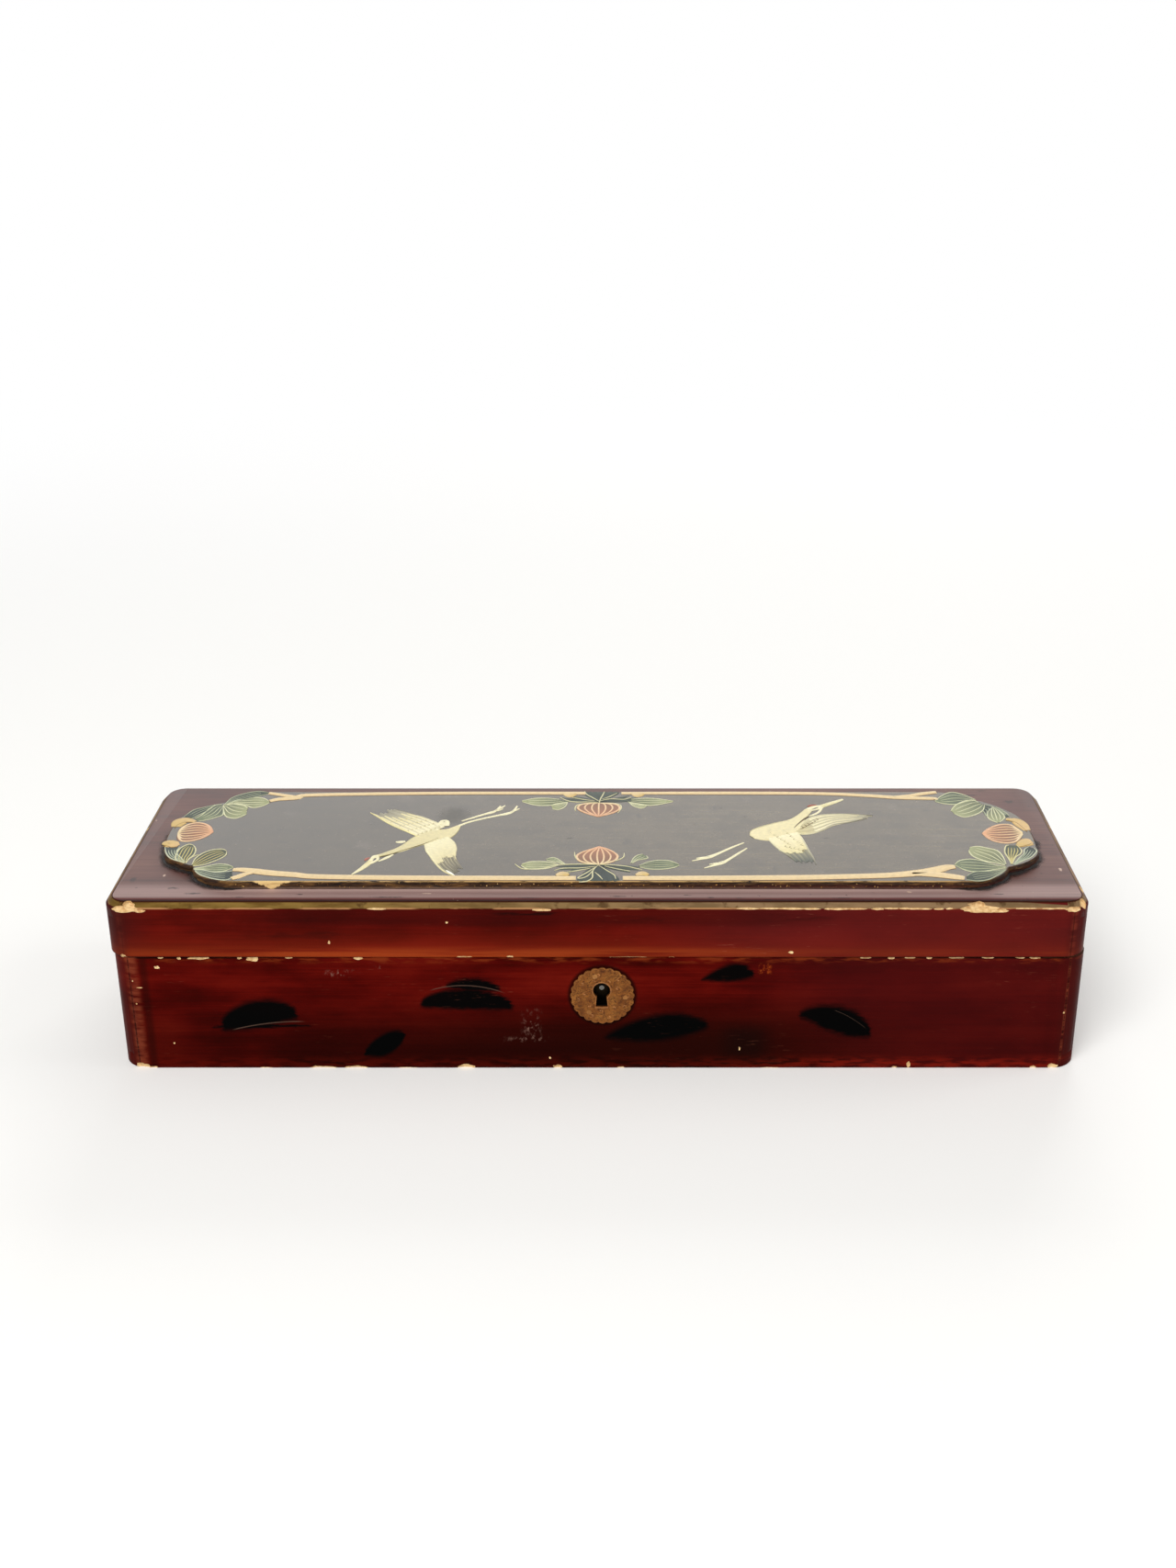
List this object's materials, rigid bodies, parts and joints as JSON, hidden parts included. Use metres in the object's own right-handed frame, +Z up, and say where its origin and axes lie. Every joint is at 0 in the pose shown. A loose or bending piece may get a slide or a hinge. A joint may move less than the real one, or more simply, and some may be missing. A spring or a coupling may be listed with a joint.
{
  "type": "ink box",
  "caption": "Long low lacquered wooden ink box with a hinged lid, a raised painted panel on top, and a box lock behind a scalloped keyhole plate.",
  "frame": {"origin": "under the middle of the box, on the surface that it stands on", "axes": "+X along the box to its right end, +Y from the lock side to the hinge side, +Z up"},
  "size_m": [0.2908, 0.0869, 0.0584],
  "materials": {
    "lacquered_board": "glossy red-brown lacquer outside over pale filler on softwood, black lacquer inside",
    "lacquered_lid_board": "glossy plum-brown lacquer on top with a gold bevel, over pale filler on softwood",
    "painted_panel": "brown-black lacquer with cranes, ribbon, leaves and buds painted in cream, green, pink and gold",
    "bamboo": "split bamboo, unfinished",
    "hinge_brass": "tarnished",
    "screw_brass": "tarnished, slotted heads",
    "lock_brass": "tarnished, file marks",
    "gilt_copper_plate": "worn gilt copper alloy, embossed",
    "lock_steel": "dull, grey-brown"
  },
  "bodies": {
    "base": {"bottom_board": "lacquered_board", "base_left_wall": "lacquered_board", "base_right_wall": "lacquered_board", "base_front_board": "lacquered_board", "base_back_board": "lacquered_board", "base_corner_pegs": "bamboo", "bottom_board_pegs": "bamboo", "left_hinge_base_leaf": "hinge_brass", "right_hinge_base_leaf": "hinge_brass", "left_hinge_pin": "hinge_brass", "right_hinge_pin": "hinge_brass", "base_leaf_screws": "screw_brass", "escutcheon": "gilt_copper_plate", "escutcheon_pins": "gilt_copper_plate", "lock_plate": "lock_brass", "lock_cap": "lock_brass", "lock_cap_rivets": "lock_brass", "bolt_guide_pins": "lock_steel", "lock_spring": "lock_steel", "lock_key_pin": "lock_steel", "lock_screws": "screw_brass"},
    "lid": {"lid_top_board": "lacquered_lid_board", "lid_left_rail": "lacquered_board", "lid_right_rail": "lacquered_board", "lid_front_rail": "lacquered_board", "lid_back_rail": "lacquered_board", "lid_corner_pegs": "bamboo", "lid_top_pegs": "bamboo", "lid_panel": "painted_panel", "left_hinge_lid_leaf": "hinge_brass", "right_hinge_lid_leaf": "hinge_brass", "lid_leaf_screws": "screw_brass", "lid_link_plate": "lock_brass", "link_plate_screws": "screw_brass"},
    "bolt": {"lock_bolt": "lock_brass"}
  },
  "joints": [
    {"name": "lid_hinge", "type": "hinge", "parent": "base", "child": "lid", "pos_m": [0, 0.0415, 0.0384], "axis": [-1, 0, 0], "range_deg": [0, 100]},
    {"name": "lock_bolt_slide", "type": "slide", "parent": "base", "child": "bolt", "axis": [1, 0, 0], "range_m": [0, 0.0025]}
  ]
}
